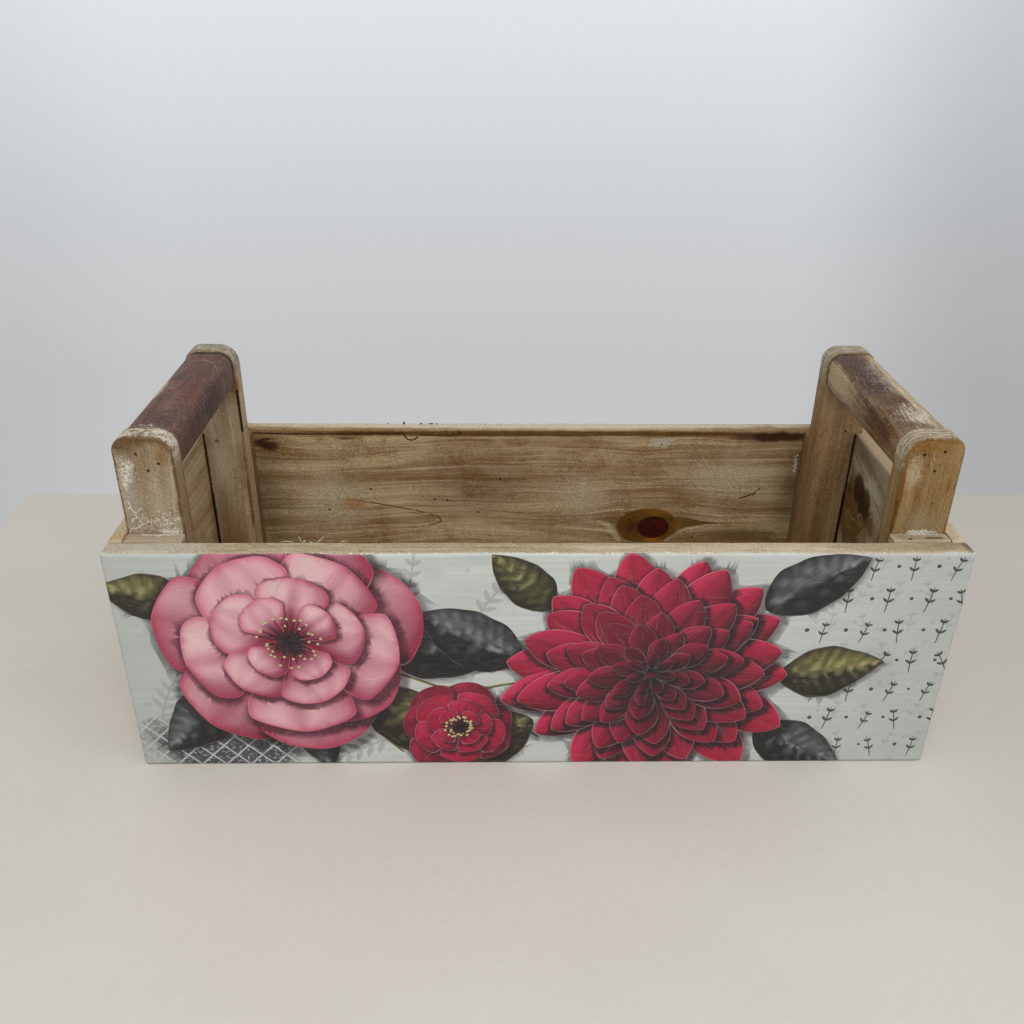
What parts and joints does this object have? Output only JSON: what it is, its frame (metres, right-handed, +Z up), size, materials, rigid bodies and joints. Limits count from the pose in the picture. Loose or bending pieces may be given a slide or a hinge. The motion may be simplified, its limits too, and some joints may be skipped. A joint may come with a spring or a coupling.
{
  "type": "wooden crate",
  "caption": "Low open pine crate with a papered front, round-shouldered corner posts and a nailed hand bar over an open hand-hold at each end.",
  "frame": {"origin": "centre of the crate's outer box at the surface it stands on", "axes": "+X along the crate's length, +Y from the papered front to the back, +Z up"},
  "size_m": [0.45, 0.1888, 0.196],
  "materials": {
    "board_wood": "waxed pine, stained and worn",
    "post_wood": "waxed pine with worn pale paint on top",
    "left_bar_stain": "dark satin stain with fine scratches",
    "right_bar_stain": "worn brown stain with dark patches",
    "printed_paper": "printed paper under satin varnish",
    "brads": "dull dark steel"
  },
  "bodies": {
    "root": {"back_board": "board_wood", "back_left_cleat": "board_wood", "back_left_post": "post_wood", "back_right_cleat": "board_wood", "back_right_post": "post_wood", "bar_brad_back_left_1": "brads", "bar_brad_back_left_2": "brads", "bar_brad_back_left_3": "brads", "bar_brad_back_right_1": "brads", "bar_brad_back_right_2": "brads", "bar_brad_back_right_3": "brads", "bar_brad_front_left_1": "brads", "bar_brad_front_left_2": "brads", "bar_brad_front_left_3": "brads", "bar_brad_front_right_1": "brads", "bar_brad_front_right_2": "brads", "bar_brad_front_right_3": "brads", "bottom_board": "board_wood", "bottom_brad_back_1": "brads", "bottom_brad_back_2": "brads", "bottom_brad_back_3": "brads", "bottom_brad_front_1": "brads", "bottom_brad_front_2": "brads", "bottom_brad_front_3": "brads", "bottom_brad_left_1": "brads", "bottom_brad_left_2": "brads", "bottom_brad_right_1": "brads", "bottom_brad_right_2": "brads", "corner_brad_back_left_1": "brads", "corner_brad_back_left_2": "brads", "corner_brad_back_right_1": "brads", "corner_brad_back_right_2": "brads", "corner_brad_front_left_1": "brads", "corner_brad_front_left_2": "brads", "corner_brad_front_right_1": "brads", "corner_brad_front_right_2": "brads", "end_brad_left_back_1": "brads", "end_brad_left_back_2": "brads", "end_brad_left_front_1": "brads", "end_brad_left_front_2": "brads", "end_brad_right_back_1": "brads", "end_brad_right_back_2": "brads", "end_brad_right_front_1": "brads", "end_brad_right_front_2": "brads", "front_board": "board_wood", "front_left_cleat": "board_wood", "front_left_post": "post_wood", "front_paper": "printed_paper", "front_right_cleat": "board_wood", "front_right_post": "post_wood", "left_end_board": "board_wood", "left_hand_bar": "left_bar_stain", "right_end_board": "board_wood", "right_hand_bar": "right_bar_stain"}
  },
  "joints": []
}
